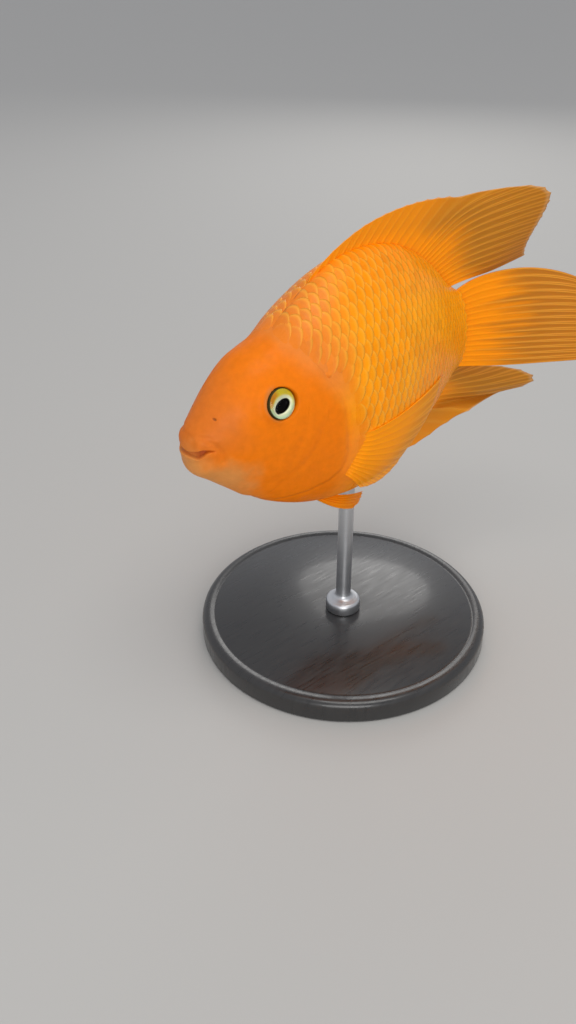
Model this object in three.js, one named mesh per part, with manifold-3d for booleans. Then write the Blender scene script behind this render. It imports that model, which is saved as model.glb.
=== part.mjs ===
// A life-size blood parrot cichlid on a display stand.
// The fish swims level, its nose along -X, its back up along +Z and its left side towards -Y.
// Lengths are millimetres. The origin is the centre of the underside of the stand's base.
import * as THREE from "three";
import { mergeVertices } from "three/addons/utils/BufferGeometryUtils.js";
import Module from "manifold-3d";

const wasm = await Module();
wasm.setup();

// Driving sizes
const standardLength = 140; // tip of the upper lip to the root of the tail fin
const gap = 0.3; // left between pieces that touch
const noseDownDeg = 1.5; // pitch of the swimming fish
const mouthHeight = 112; // of the long axis above the floor, at the middle of the body
const axisMiddle = 0.52; // share of the length that stands over the base's centre
const backwardTurnDeg = 6; // the rear of the trunk swings to the right
const tailTurnDeg = -34; // the tail's root swings back to the left
const tailCurlDeg = -22; // and the tail fin curls on from there

// Numbers between given ones, by a smooth curve that passes through each.
function curveThrough(pairs) {
  const slope = pairs.map((p, i) => {
    const before = pairs[Math.max(i - 1, 0)];
    const after = pairs[Math.min(i + 1, pairs.length - 1)];
    return (after[1] - before[1]) / (after[0] - before[0]);
  });
  return (x) => {
    let i = 0;
    while (i < pairs.length - 2 && x > pairs[i + 1][0]) i++;
    const [x0, y0] = pairs[i];
    const [x1, y1] = pairs[i + 1];
    const span = x1 - x0;
    const s = Math.min(Math.max((x - x0) / span, 0), 1);
    const s2 = s * s;
    const s3 = s2 * s;
    return (
      y0 * (2 * s3 - 3 * s2 + 1) +
      y1 * (3 * s2 - 2 * s3) +
      slope[i] * span * (s3 - 2 * s2 + s) +
      slope[i + 1] * span * (s3 - s2)
    );
  };
}

const clamp01 = (x) => Math.min(Math.max(x, 0), 1);
const smooth = (from, to, x) => {
  const s = clamp01((x - from) / (to - from));
  return s * s * (3 - 2 * s);
};
const mix = (a, b, s) => a + (b - a) * s;

// The body's outline, as shares of the standard length behind the lip: back, belly, widest level and half width.
const backLine = curveThrough([
  [0, 0.022], [0.02, 0.051], [0.06, 0.093], [0.11, 0.14], [0.16, 0.177], [0.205, 0.193], [0.25, 0.209],
  [0.3, 0.249], [0.36, 0.29], [0.42, 0.322], [0.5, 0.343], [0.6, 0.338], [0.7, 0.305], [0.8, 0.24], [0.88, 0.165],
  [0.94, 0.122], [0.975, 0.112], [1, 0.1],
]);
const bellyLine = curveThrough([
  [0, -0.035], [0.02, -0.072], [0.06, -0.112], [0.12, -0.161], [0.2, -0.22], [0.3, -0.267], [0.4, -0.288],
  [0.5, -0.289], [0.6, -0.268], [0.7, -0.236], [0.8, -0.185], [0.88, -0.14], [0.94, -0.116], [0.975, -0.11],
  [1, -0.1],
]);
const halfWidth = curveThrough([
  [0, 0.03], [0.02, 0.046], [0.06, 0.07], [0.12, 0.098], [0.2, 0.124], [0.3, 0.149], [0.4, 0.166],
  [0.5, 0.167], [0.6, 0.152], [0.7, 0.128], [0.8, 0.098], [0.88, 0.072], [0.94, 0.052], [0.975, 0.042],
  [1, 0.026],
]);
const widestLevel = curveThrough([
  [0, -0.002], [0.1, 0.006], [0.25, 0.0], [0.45, -0.025], [0.7, -0.02], [1, 0],
]);
const backSharpness = curveThrough([
  [0, 0.9], [0.15, 0.86], [0.3, 1.0], [0.45, 1.22], [0.8, 1.25], [1, 1.0],
]);
const bellySharpness = curveThrough([
  [0, 0.9], [0.2, 0.9], [0.45, 0.86], [0.75, 1.1], [1, 1.0],
]);

// The midline, seen from above: its heading at a share of the length, and its place by small steps.
const headingDeg = (t) =>
  backwardTurnDeg * smooth(0.38, 0.8, t) +
  tailTurnDeg * smooth(0.86, 1.06, t) +
  tailCurlDeg * smooth(1.06, 1.45, t);
const midlineSteps = 300;
const midlineReach = 1.6;
const midline = [[0, 0]];
for (let i = 0; i < midlineSteps; i++) {
  const step = midlineReach / midlineSteps;
  const angle = THREE.MathUtils.degToRad(headingDeg((i + 0.5) * step));
  const [x, y] = midline[i];
  midline.push([x + Math.cos(angle) * step, y + Math.sin(angle) * step]);
}

// A point of the straight fish, given as shares of the length, on the bent fish in millimetres.
function bent(t, side, up) {
  const place = Math.min(Math.max(t / midlineReach, 0), 1) * midlineSteps;
  const i = Math.min(Math.floor(place), midlineSteps - 1);
  const s = place - i;
  const ahead = Math.min(t, 0);
  const angle = THREE.MathUtils.degToRad(headingDeg(Math.max(t, 0)));
  const x = mix(midline[i][0], midline[i + 1][0], s) + ahead - side * Math.sin(angle);
  const y = mix(midline[i][1], midline[i + 1][1], s) + side * Math.cos(angle);
  return new THREE.Vector3(x, y, up).multiplyScalar(standardLength);
}

// A point of the body's skin, at a share of the length and an angle round from the back; out moves it outwards.
function skinPoint(t, angle, out = 0) {
  const grow = out / standardLength;
  const level = widestLevel(t);
  const c = Math.cos(angle);
  const s = Math.sin(angle);
  const upper = c >= 0;
  const sharpness = upper ? backSharpness(t) : bellySharpness(t);
  const height = upper ? backLine(t) - level + grow : level - bellyLine(t) + grow;
  const width = (halfWidth(t) + grow) * Math.sign(s) * Math.abs(s) ** sharpness;
  return { t, side: -width, up: level + height * c };
}

// Half the body's width at a share of the length and a level above the axis.
function widthAt(t, up) {
  const level = widestLevel(t);
  const upper = up >= level;
  const reach = upper ? backLine(t) - level : level - bellyLine(t);
  const c = clamp01(Math.abs(up - level) / reach);
  const sharpness = upper ? backSharpness(t) : bellySharpness(t);
  return halfWidth(t) * Math.sqrt(1 - c * c) ** sharpness;
}

// A closed mesh from rows of points, each row a ring, with a single point at each end.
function closedRings(rings, first, last) {
  const across = rings[0].length;
  const points = [first, ...rings.flat(), last];
  const faces = [];
  const at = (row, i) => 1 + row * across + (i % across);
  for (let i = 0; i < across; i++) faces.push(0, at(0, i + 1), at(0, i));
  for (let row = 0; row < rings.length - 1; row++) {
    for (let i = 0; i < across; i++) {
      faces.push(at(row, i), at(row, i + 1), at(row + 1, i));
      faces.push(at(row, i + 1), at(row + 1, i + 1), at(row + 1, i));
    }
  }
  const end = points.length - 1;
  for (let i = 0; i < across; i++) faces.push(end, at(rings.length - 1, i), at(rings.length - 1, i + 1));
  const geometry = new THREE.BufferGeometry();
  geometry.setAttribute("position", new THREE.Float32BufferAttribute(points.flatMap((p) => p.toArray()), 3));
  geometry.setIndex(faces);
  return geometry;
}

// Solids for joining and cutting, and back again.
function solidFrom(geometry) {
  const bare = geometry.clone();
  bare.deleteAttribute("normal");
  bare.deleteAttribute("uv");
  const merged = mergeVertices(bare, 1e-4);
  const made = new wasm.Manifold(
    new wasm.Mesh({
      numProp: 3,
      vertProperties: new Float32Array(merged.attributes.position.array),
      triVerts: new Uint32Array(merged.index.array),
    }),
  );
  if (made.volume() >= 0) return made;
  const turned = new Uint32Array(merged.index.array);
  for (let i = 0; i < turned.length; i += 3) [turned[i + 1], turned[i + 2]] = [turned[i + 2], turned[i + 1]];
  return new wasm.Manifold(
    new wasm.Mesh({
      numProp: 3,
      vertProperties: new Float32Array(merged.attributes.position.array),
      triVerts: turned,
    }),
  );
}

function largestPiece(solid) {
  return solid.decompose().reduce((a, b) => (b.volume() > a.volume() ? b : a));
}

function geometryFrom(solid) {
  const mesh = solid.getMesh();
  const positions = new Float32Array(mesh.numVert * 3);
  for (let i = 0; i < mesh.numVert; i++) {
    positions.set(mesh.vertProperties.subarray(i * mesh.numProp, i * mesh.numProp + 3), i * 3);
  }
  const geometry = new THREE.BufferGeometry();
  geometry.setAttribute("position", new THREE.BufferAttribute(positions, 3));
  geometry.setIndex(new THREE.BufferAttribute(new Uint32Array(mesh.triVerts), 1));
  geometry.computeVertexNormals();
  return geometry;
}

// A length of the body between two cross sections; each end is a share of the length that may vary round the ring.
const aroundBody = 36;
function bodyLength(startAt, endAt, rows, out = 0, capRows = 2) {
  const rings = [];
  const angles = Array.from({ length: aroundBody }, (_, i) => (i / aroundBody) * 2 * Math.PI);
  const ringAt = (share, inwards) =>
    angles.map((angle) => {
      const t = mix(startAt(angle), endAt(angle), share);
      const p = skinPoint(t, angle, out);
      return bent(mix(mix(startAt(Math.PI / 2), endAt(Math.PI / 2), share), p.t, inwards), p.side * inwards,
        mix(widestLevel(t), p.up, inwards));
    });
  for (let i = 1; i < capRows; i++) rings.push(ringAt(0, i / capRows));
  for (let i = 0; i <= rows; i++) rings.push(ringAt(i / rows, 1));
  for (let i = capRows - 1; i > 0; i--) rings.push(ringAt(1, i / capRows));
  const middle = Math.PI / 2;
  const first = bent(startAt(middle), 0, widestLevel(startAt(middle)));
  const last = bent(endAt(middle), 0, widestLevel(endAt(middle)));
  return solidFrom(closedRings(rings, first, last));
}

// Where the head ends and the trunk begins, and where the trunk ends and the tail's root begins.
const gillLine = (angle) => 0.29 + 0.08 * Math.abs(Math.sin(angle)) ** 1.5 * (Math.cos(angle) > 0 ? 1 : 0.8);
const bodyEnd = 0.935;
const tailLine = () => 0.83;
const halfGap = gap / 2 / standardLength;
const noseShare = 0.0;

const wholeBodyGrown = bodyLength(() => noseShare, () => bodyEnd + halfGap * 2, 34, gap);

// Prisms: an outline in the fish's side view, given as shares of the length, run through from one side to another.
function prism(outline, fromSide, toSide) {
  const shape = new THREE.Shape(outline.map(([t, up]) => new THREE.Vector2(t * standardLength, up * standardLength)));
  const geometry = new THREE.ExtrudeGeometry(shape, {
    depth: (toSide - fromSide) * standardLength,
    bevelEnabled: false,
    curveSegments: 8,
  });
  geometry.rotateX(Math.PI / 2);
  geometry.translate(0, toSide * standardLength, 0);
  return solidFrom(geometry);
}

// Moves each corner of an outline away from its middle by a distance given as a share of the length.
function grown(outline, by) {
  const area = outline.reduce((sum, [x, y], i) => {
    const [nx, ny] = outline[(i + 1) % outline.length];
    return sum + x * ny - nx * y;
  }, 0);
  const turn = Math.sign(area);
  return outline.map((point, i) => {
    const before = outline[(i + outline.length - 1) % outline.length];
    const after = outline[(i + 1) % outline.length];
    const away = [before, after].map((other, side) => {
      const dx = (other[0] - point[0]) * (side ? 1 : -1);
      const dy = (other[1] - point[1]) * (side ? 1 : -1);
      const length = Math.hypot(dx, dy);
      return [(dy / length) * turn, (-dx / length) * turn];
    });
    const sum = [away[0][0] + away[1][0], away[0][1] + away[1][1]];
    const scale = (2 * by) / (sum[0] ** 2 + sum[1] ** 2);
    return [point[0] + sum[0] * scale, point[1] + sum[1] * scale];
  });
}

function ball(centre, radii, turnDeg = 0, tiltDeg = 0, around = 22) {
  const geometry = new THREE.SphereGeometry(1, around, Math.round(around * 0.6));
  geometry.scale(...radii);
  geometry.rotateX(THREE.MathUtils.degToRad(tiltDeg));
  geometry.rotateZ(THREE.MathUtils.degToRad(turnDeg));
  geometry.translate(centre.x, centre.y, centre.z);
  return solidFrom(geometry);
}

// A lip: a soft roll bent round the mouth in a horseshoe, thin at the corners.
const mouthDepth = 0.042;
const mouthHalfWidth = 0.057;
const mouthLevel = -0.007;
const cornerRise = 0.009;
function lip(rise, thickness, inset) {
  const rings = [];
  const steps = 12;
  const sides = 8;
  const path = (s) => {
    const angle = (s - 0.5) * Math.PI;
    const fade = Math.cos(angle);
    return bent(
      mouthDepth * (1 - fade) + inset * fade,
      (mouthHalfWidth - inset) * Math.sin(angle),
      mouthLevel + cornerRise * (1 - fade) + rise * (0.25 + 0.75 * fade),
    );
  };
  const radius = (s) => standardLength * thickness * (0.45 + 0.55 * Math.sin(Math.PI * s));
  for (let i = 0; i <= steps; i++) {
    const s = i / steps;
    const centre = path(s);
    const along = path(Math.min(s + 0.01, 1)).sub(path(Math.max(s - 0.01, 0))).normalize();
    const up = new THREE.Vector3(0, 0, 1);
    const outwards = new THREE.Vector3().crossVectors(along, up).normalize();
    rings.push(
      Array.from({ length: sides }, (_, k) => {
        const angle = (k / sides) * 2 * Math.PI;
        return centre.clone()
          .addScaledVector(outwards, Math.cos(angle) * radius(s) * 0.9)
          .addScaledVector(up, Math.sin(angle) * radius(s));
      }),
    );
  }
  return solidFrom(closedRings(rings, path(0), path(1)));
}

// The eyes: a slightly flattened ball each, in a socket that is wider by the gap.
const eyePlace = { t: 0.203, side: 0.099, up: 0.087 };
const eyeRadius = 5.6;
const eyeBulge = 3.6;
const eyeTiltDeg = 17; // the sockets look a little upwards
function eyeBall(sideSign, extra) {
  const centre = bent(eyePlace.t, eyePlace.side * sideSign, eyePlace.up);
  return ball(centre, [eyeRadius + extra, eyeBulge + extra, eyeRadius + extra], 0, eyeTiltDeg * sideSign);
}

// Head: the front of the body with lips, sockets, nostrils, the mouth's slit and room for the jaw and gill covers.
const jawOutline = [
  [-0.06, mouthLevel], [0.014, mouthLevel + 0.001], [0.04, 0.0], [0.056, -0.012], [0.075, -0.05], [0.11, -0.08],
  [0.155, -0.1], [0.168, -0.3], [-0.06, -0.3],
];
const coverOutline = [
  [0.255, 0.06], [0.285, 0.072], [0.318, 0.064], [0.344, 0.035], [0.356, -0.01], [0.352, -0.06], [0.33, -0.115],
  [0.295, -0.16], [0.258, -0.18], [0.242, -0.15], [0.236, -0.09], [0.236, -0.02], [0.242, 0.03],
];
const coverThickness = 1.6;
const coverRise = 0.8;
const farSide = 0.3;
const headRows = 19;
const headBlank = bodyLength(() => noseShare, (a) => gillLine(a) - halfGap, headRows);
const headOver = bodyLength(() => noseShare, (a) => gillLine(a) - halfGap * 3, headRows, coverRise);
const headUnder = bodyLength(() => noseShare, (a) => gillLine(a) + halfGap * 3, headRows, -coverThickness);
const headUnderMore = bodyLength(() => noseShare, (a) => gillLine(a) + halfGap * 3, headRows, -coverThickness - gap);

const upperLip = lip(0.0165, 0.0155, 0.01);
const lowerLip = lip(-0.0155, 0.0145, 0.009);
const mouthRecess = ball(bent(0.014, 0, mouthLevel), [5.6, 6.2, 0.9], 0, 0, 20);
const nostrilPlace = { t: 0.058, side: 0.047, up: 0.071 };
const nostrils = [-1, 1].map((sign) =>
  ball(bent(nostrilPlace.t, nostrilPlace.side * sign, nostrilPlace.up), [0.8, 1.4, 0.7], 30 * sign, 0, 12),
);

const jawBlock = prism(jawOutline, -farSide, farSide);
const jawRoom = prism(grown(jawOutline, gap / standardLength), -farSide, farSide);
const covers = [-1, 1].map((sign) => {
  const sides = sign < 0 ? [-farSide, -0.04] : [0.04, farSide];
  return {
    name: sign < 0 ? "gill_cover_left" : "gill_cover_right",
    solid: largestPiece(headOver.subtract(headUnder).intersect(prism(coverOutline, ...sides))),
    room: prism(grown(coverOutline, gap / standardLength), ...sides).subtract(headUnderMore),
  };
});

let head = headBlank.add(upperLip).subtract(jawRoom).subtract(mouthRecess);
for (const nostril of nostrils) head = head.subtract(nostril);
for (const cover of covers) head = head.subtract(cover.room);
for (const sign of [-1, 1]) head = head.subtract(eyeBall(sign, gap));
const jaw = headBlank.intersect(jawBlock).add(lowerLip.intersect(jawBlock)).subtract(mouthRecess);

const trunk = bodyLength((a) => gillLine(a) + halfGap, () => tailLine() - halfGap, 22);
const tailRoot = bodyLength(() => tailLine() + halfGap, () => bodyEnd, 6);

// Fins: a membrane with rays raised on both faces, from rays given by their root, tip and bow.
const rayRows = 5;
function fin(rays, { thick, ridge, tipThick, web, sunk = 0 }) {
  const columns = [];
  rays.forEach((ray, i) => {
    const half = ray.half ?? 0.16;
    if (i > 0) columns.push({ at: i - half, ray: 0 });
    columns.push({ at: i, ray: 1 });
    if (i < rays.length - 1) columns.push({ at: i + half, ray: 0 });
  });
  const rayPoint = (i, v) => rays[i].point(v);
  const place = (column, v) => {
    const low = Math.min(Math.floor(column.at), rays.length - 1);
    const high = Math.min(low + 1, rays.length - 1);
    const s = column.at - low;
    const reach = column.ray ? v : v * (1 - web * (1 - Math.abs(2 * s - 1) ** 2) * v);
    const a = rayPoint(low, reach);
    if (low === high || s === 0) return a;
    return a.lerp(rayPoint(high, reach), s);
  };
  const rows = Array.from({ length: rayRows + 1 }, (_, k) => k / rayRows);
  const grid = columns.map((column) => rows.map((v) => place(column, v)));
  const normalAt = (i, k) => {
    const a = grid[Math.max(i - 1, 0)][k];
    const b = grid[Math.min(i + 1, grid.length - 1)][k];
    const c = grid[i][Math.max(k - 1, 0)];
    const d = grid[i][Math.min(k + 1, rayRows)];
    return b.clone().sub(a).cross(d.clone().sub(c)).normalize();
  };
  const halfThick = (column, v) =>
    (mix(thick, tipThick, v ** 1.4) + (column.ray ? mix(ridge, ridge * 0.35, v) : 0)) / 2;
  const points = [];
  const index = (face, i, k) => (face * grid.length + i) * (rayRows + 1) + k;
  for (const face of [0, 1]) {
    grid.forEach((column, i) =>
      column.forEach((point, k) => {
        const reach = halfThick(columns[i], rows[k]) * (face ? -1 : 1);
        points.push(point.clone().addScaledVector(normalAt(i, k), reach));
      }),
    );
  }
  const faces = [];
  const quad = (a, b, c, d) => faces.push(a, b, c, a, c, d);
  for (let i = 0; i < grid.length - 1; i++) {
    for (let k = 0; k < rayRows; k++) {
      quad(index(0, i, k), index(0, i + 1, k), index(0, i + 1, k + 1), index(0, i, k + 1));
      faces.push(index(1, i, k), index(1, i + 1, k + 1), index(1, i + 1, k));
      faces.push(index(1, i, k), index(1, i, k + 1), index(1, i + 1, k + 1));
    }
    quad(index(0, i + 1, 0), index(0, i, 0), index(1, i, 0), index(1, i + 1, 0));
    quad(index(0, i, rayRows), index(0, i + 1, rayRows), index(1, i + 1, rayRows), index(1, i, rayRows));
  }
  for (let k = 0; k < rayRows; k++) {
    quad(index(0, 0, k), index(0, 0, k + 1), index(1, 0, k + 1), index(1, 0, k));
    const end = grid.length - 1;
    quad(index(0, end, k + 1), index(0, end, k), index(1, end, k), index(1, end, k + 1));
  }
  const geometry = new THREE.BufferGeometry();
  geometry.setAttribute("position", new THREE.Float32BufferAttribute(points.flatMap((p) => p.toArray()), 3));
  geometry.setIndex(faces);
  return solidFrom(geometry);
}

// A ray of a fin in the fish's middle plane: it leaves its root at an angle above straight back, and bows.
function middleRay(rootT, rootUp, angleDeg, length, bowDeg, drift = 0) {
  return {
    point: (v) => {
      const steps = 8;
      let t = rootT;
      let up = rootUp;
      for (let i = 0; i < steps; i++) {
        const angle = THREE.MathUtils.degToRad(angleDeg + bowDeg * ((i + 0.5) / steps) * v);
        t += (Math.cos(angle) * length * v) / steps;
        up += (Math.sin(angle) * length * v) / steps;
      }
      return bent(t, drift * v * v, up);
    },
  };
}
const share = (i, count) => i / (count - 1);
const rootDepth = 0.022; // how far a fin's root is sunk in the body before it is trimmed

// Dorsal fin: low spines from the nape to over the loin, then long soft rays that trail past the tail's root.
const dorsalSpines = 15;
const dorsalSoftRays = 13;
const dorsalStart = 0.352;
const dorsalTurn = 0.735;
const dorsalEnd = 0.885;
const dorsalDrift = 0.42; // the last rays pass on the right of the tail fin
const dorsalRays = [
  ...Array.from({ length: dorsalSpines }, (_, i) => {
    const s = share(i, dorsalSpines);
    const t = mix(dorsalStart, dorsalTurn, s);
    const length = rootDepth + mix(0.04, 0.175, s) - 0.012 * Math.sin(Math.PI * s);
    return middleRay(t, backLine(t) - rootDepth, mix(58, 33, s), length, -6);
  }),
  ...Array.from({ length: dorsalSoftRays }, (_, i) => {
    const s = share(i + 1, dorsalSoftRays + 1);
    const t = mix(dorsalTurn, dorsalEnd, s);
    const rise = Math.sin(Math.PI * Math.min(0.08 + s * 1.15, 0.5)) ** 0.8 * (1 - 0.5 * smooth(0.1, 1, s));
    const length = rootDepth + mix(0.17, 0.15, s) + 0.28 * rise * (1 - 0.1 * s);
    const drift = dorsalDrift * length * s * s;
    return middleRay(t, backLine(t) - rootDepth, mix(32, 0, s), length, mix(-18, 4, s), drift);
  }),
];

// Anal fin: a few spines, then soft rays that draw out to a point.
const analSpines = 6;
const analSoftRays = 10;
const analStart = 0.62;
const analTurn = 0.77;
const analEnd = 0.882;
const analDrift = 0.38; // the long rays pass on the right of the tail fin
const analRays = [
  ...Array.from({ length: analSpines }, (_, i) => {
    const s = share(i, analSpines);
    const t = mix(analStart, analTurn, s);
    return middleRay(t, bellyLine(t) + rootDepth, mix(-50, -24, s), rootDepth + mix(0.045, 0.24, s), 8);
  }),
  ...Array.from({ length: analSoftRays }, (_, i) => {
    const s = share(i + 1, analSoftRays + 1);
    const t = mix(analTurn, analEnd, s);
    const rise = Math.sin(Math.PI * clamp01(0.1 + s * 1.2)) ** 0.9;
    const length = rootDepth + mix(0.2, 0.13, s) + 0.3 * rise * (1 - 0.3 * s);
    return middleRay(t, bellyLine(t) + rootDepth, mix(-25, -4, s), length, mix(10, 2, s), analDrift * length);
  }),
];

// Tail fin: a broad fan.
const tailRays = Array.from({ length: 16 }, (_, i) => {
  const s = share(i, 16) * 2 - 1;
  const length = 0.5 - 0.05 * s * s;
  const upper = Math.max(s, 0) ** 2; // the upper rays rise first, then arch over
  return middleRay(0.9, 0.1 * s, 13 * s + 17 * upper, length, -20 * s - 38 * upper);
});

// Breast fins: fans laid back along the flank, one a side.
function breastRays(sign) {
  const count = 13;
  return Array.from({ length: count }, (_, i) => {
    const s = share(i, count);
    const rootT = mix(0.372, 0.37, s);
    const rootUp = mix(-0.05, -0.155, s);
    const angle = THREE.MathUtils.degToRad(mix(4, -50, s));
    const length = mix(0.37, 0.085, s ** 1.15);
    return {
      point: (v) => {
        const reach = length * v;
        const t = rootT + Math.cos(angle) * reach;
        const up = rootUp + Math.sin(angle) * reach;
        const rootSide = widthAt(rootT, rootUp) - 0.01;
        const level = Math.max(up, bellyLine(t) * 0.72);
        const clear = widthAt(t, level) + 0.02 * smooth(0, 0.5, v) + 0.008;
        const side = mix(rootSide, clear, smooth(0, 0.2, v));
        return bent(t, side * sign, up);
      },
    };
  });
}

// Belly fins: a spine and five rays each, folded back under the belly.
function bellyRays(sign) {
  const count = 6;
  return Array.from({ length: count }, (_, i) => {
    const s = share(i, count);
    const rootT = mix(0.345, 0.37, s);
    const rootSide = mix(0.05, 0.036, s);
    const rootUp = bellyLine(rootT) + 0.02;
    const tipT = 0.45 + 0.06 * s ** 0.6;
    const tipSide = mix(0.09, 0.062, s);
    const tipUp = mix(-0.318, -0.305, s);
    return {
      point: (v) =>
        bent(
          mix(rootT, tipT, v),
          mix(rootSide, tipSide, v) * sign,
          mix(rootUp, tipUp, Math.sin((Math.PI / 2) * v)),
        ),
    };
  });
}

const trimmed = (solid) => largestPiece(solid.subtract(wholeBodyGrown));
const finForm = { thick: 0.75, ridge: 0.75, tipThick: 0.5, web: 0.06 };
const dorsalFin = trimmed(fin(dorsalRays, finForm));
const analFin = trimmed(fin(analRays, finForm));
const tailFin = trimmed(fin(tailRays, { ...finForm, thick: 0.9 }));
const breastFins = [-1, 1].map((sign) => trimmed(fin(breastRays(sign), finForm)));
const bellyFins = [-1, 1].map((sign) => trimmed(fin(bellyRays(sign), finForm)));

// The fish is put together in its own frame, then pitched and set over the stand.
const skinColour = new THREE.MeshStandardMaterial({ color: 0xf07a14, roughness: 0.42, metalness: 0 });
const finColour = new THREE.MeshStandardMaterial({ color: 0xe6923a, roughness: 0.5, metalness: 0 });
const lipColour = new THREE.MeshStandardMaterial({ color: 0xe88a4a, roughness: 0.4, metalness: 0 });
const eyeColour = new THREE.MeshStandardMaterial({ color: 0xe3d24a, roughness: 0.15, metalness: 0 });
const baseColour = new THREE.MeshStandardMaterial({ color: 0x26282b, roughness: 0.5, metalness: 0 });
const rodColour = new THREE.MeshStandardMaterial({ color: 0xb9bcc0, roughness: 0.3, metalness: 1 });

const fish = new THREE.Group();
function addTo(group, name, solid, material) {
  const mesh = new THREE.Mesh(geometryFrom(largestPiece(solid)), material);
  mesh.name = name;
  group.add(mesh);
  return mesh;
}
addTo(fish, "head", head, skinColour);
addTo(fish, "lower_jaw", jaw, lipColour);
for (const cover of covers) addTo(fish, cover.name, cover.solid, skinColour);
addTo(fish, "trunk", trunk, skinColour);
addTo(fish, "tail_root", tailRoot, skinColour);
addTo(fish, "eye_left", eyeBall(-1, 0), eyeColour);
addTo(fish, "eye_right", eyeBall(1, 0), eyeColour);
addTo(fish, "dorsal_fin", dorsalFin, finColour);
addTo(fish, "anal_fin", analFin, finColour);
addTo(fish, "tail_fin", tailFin, finColour);
addTo(fish, "pectoral_fin_left", breastFins[0], finColour);
addTo(fish, "pectoral_fin_right", breastFins[1], finColour);
addTo(fish, "pelvic_fin_left", bellyFins[0], finColour);
addTo(fish, "pelvic_fin_right", bellyFins[1], finColour);
const middlePoint = bent(axisMiddle, 0, 0);
const pitch = THREE.MathUtils.degToRad(noseDownDeg);
const placing = new THREE.Matrix4()
  .makeTranslation(0, 0, mouthHeight)
  .multiply(new THREE.Matrix4().makeRotationY(-pitch))
  .multiply(new THREE.Matrix4().makeTranslation(-middlePoint.x, -middlePoint.y, 0));
fish.applyMatrix4(placing);

// Stand: a turned base, and a rod with a collar that reaches up to the belly.
const baseRadius = 58;
const baseThick = 9;
const baseRound = 2.5;
const rodRadius = 3;
const collarRadius = 7;
const collarHeight = 5;
const stand = new THREE.Group();
function turned(points, sides = 48) {
  return solidFrom(new THREE.LatheGeometry(points.map(([r, z]) => new THREE.Vector2(r, z)), sides).rotateX(Math.PI / 2));
}
const rounding = Array.from({ length: 5 }, (_, i) => {
  const angle = (i / 4) * (Math.PI / 2);
  return [baseRadius - baseRound + Math.cos(angle) * baseRound, baseThick - baseRound + Math.sin(angle) * baseRound];
});
const base = turned([[0, 0], [baseRadius - 1, 0], [baseRadius, 1], ...rounding, [0, baseThick]]);
addTo(stand, "stand_base", base, baseColour);
const rodTop = mouthHeight + 40;
const rodBottom = baseThick + gap;
const rodBlank = turned([
  [0, rodBottom], [collarRadius, rodBottom], [collarRadius, rodBottom + collarHeight - 1.5],
  [rodRadius + 1.5, rodBottom + collarHeight], [rodRadius, rodBottom + collarHeight + 2], [rodRadius, rodTop], [0, rodTop],
], 24);
const bodyInPlace = wholeBodyGrown.transform(placing.elements);
const rodPieces = rodBlank.subtract(bodyInPlace).decompose();
const rod = rodPieces.reduce((a, b) => (b.boundingBox().min[2] < a.boundingBox().min[2] ? b : a));
addTo(stand, "stand_rod", rod, rodColour);

const part = new THREE.Group();
part.add(fish, stand);

export default part;
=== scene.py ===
from math import cos, pi, radians, sin

import bpy
import numpy as np
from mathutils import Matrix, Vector


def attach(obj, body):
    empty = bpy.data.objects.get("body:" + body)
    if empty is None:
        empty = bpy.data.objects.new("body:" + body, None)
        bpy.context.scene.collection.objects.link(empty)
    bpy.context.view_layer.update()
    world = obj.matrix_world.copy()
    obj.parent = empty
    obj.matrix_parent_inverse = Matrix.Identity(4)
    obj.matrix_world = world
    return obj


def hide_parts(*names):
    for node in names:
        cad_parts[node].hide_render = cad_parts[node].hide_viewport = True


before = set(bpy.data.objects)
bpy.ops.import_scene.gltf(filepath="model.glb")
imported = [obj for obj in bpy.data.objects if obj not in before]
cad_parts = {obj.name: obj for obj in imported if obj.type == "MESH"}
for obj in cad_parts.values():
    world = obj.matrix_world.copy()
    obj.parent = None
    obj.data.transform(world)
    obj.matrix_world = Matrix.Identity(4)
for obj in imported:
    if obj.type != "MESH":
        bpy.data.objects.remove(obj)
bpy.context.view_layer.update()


# The room: a plain pale floor and soft studio lights for an aquarium fish shown dry on its stand.
# The camera looks down on the fish from ahead of its left side, as a keeper looks into the tank.
floor_size = 60.0
world = bpy.data.worlds.new("pale_studio")
world.use_nodes = True
sky = world.node_tree.nodes["Background"]
sky.inputs["Color"].default_value = (0.93, 0.95, 1.0, 1.0)
sky.inputs["Strength"].default_value = 0.58
bpy.context.scene.world = world
bpy.context.scene.view_settings.view_transform = "Standard"

bpy.ops.mesh.primitive_plane_add(size=floor_size, location=(0, 0, 0))
floor = bpy.context.object
floor.name = "studio_floor"
floor_paint = bpy.data.materials.new("pale_floor")
floor_paint.use_nodes = True
paint = floor_paint.node_tree.nodes["Principled BSDF"]
paint.inputs["Base Color"].default_value = (0.5, 0.49, 0.47, 1.0)
paint.inputs["Roughness"].default_value = 0.7
floor.data.materials.append(floor_paint)


def soft_light(name, place, aim, size, watts, colour):
    lamp = bpy.data.lights.new(name, "AREA")
    lamp.shape = "DISK"
    lamp.size = size
    lamp.energy = watts
    lamp.color = colour
    holder = bpy.data.objects.new(name, lamp)
    holder.location = place
    holder.rotation_euler = (Vector(aim) - Vector(place)).to_track_quat("-Z", "Y").to_euler()
    bpy.context.collection.objects.link(holder)


fish_middle = (0.0, 0.0, 0.112)
soft_light("tank_light", (-0.05, -0.25, 0.95), fish_middle, 0.6, 3.0, (1.0, 0.98, 0.94))
soft_light("front_fill", (-0.75, -0.95, 0.3), fish_middle, 0.8, 6.0, (1.0, 0.99, 0.97))
soft_light("back_rim", (0.7, 0.6, 0.5), fish_middle, 0.5, 1.4, (1.0, 0.98, 0.95))

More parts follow.
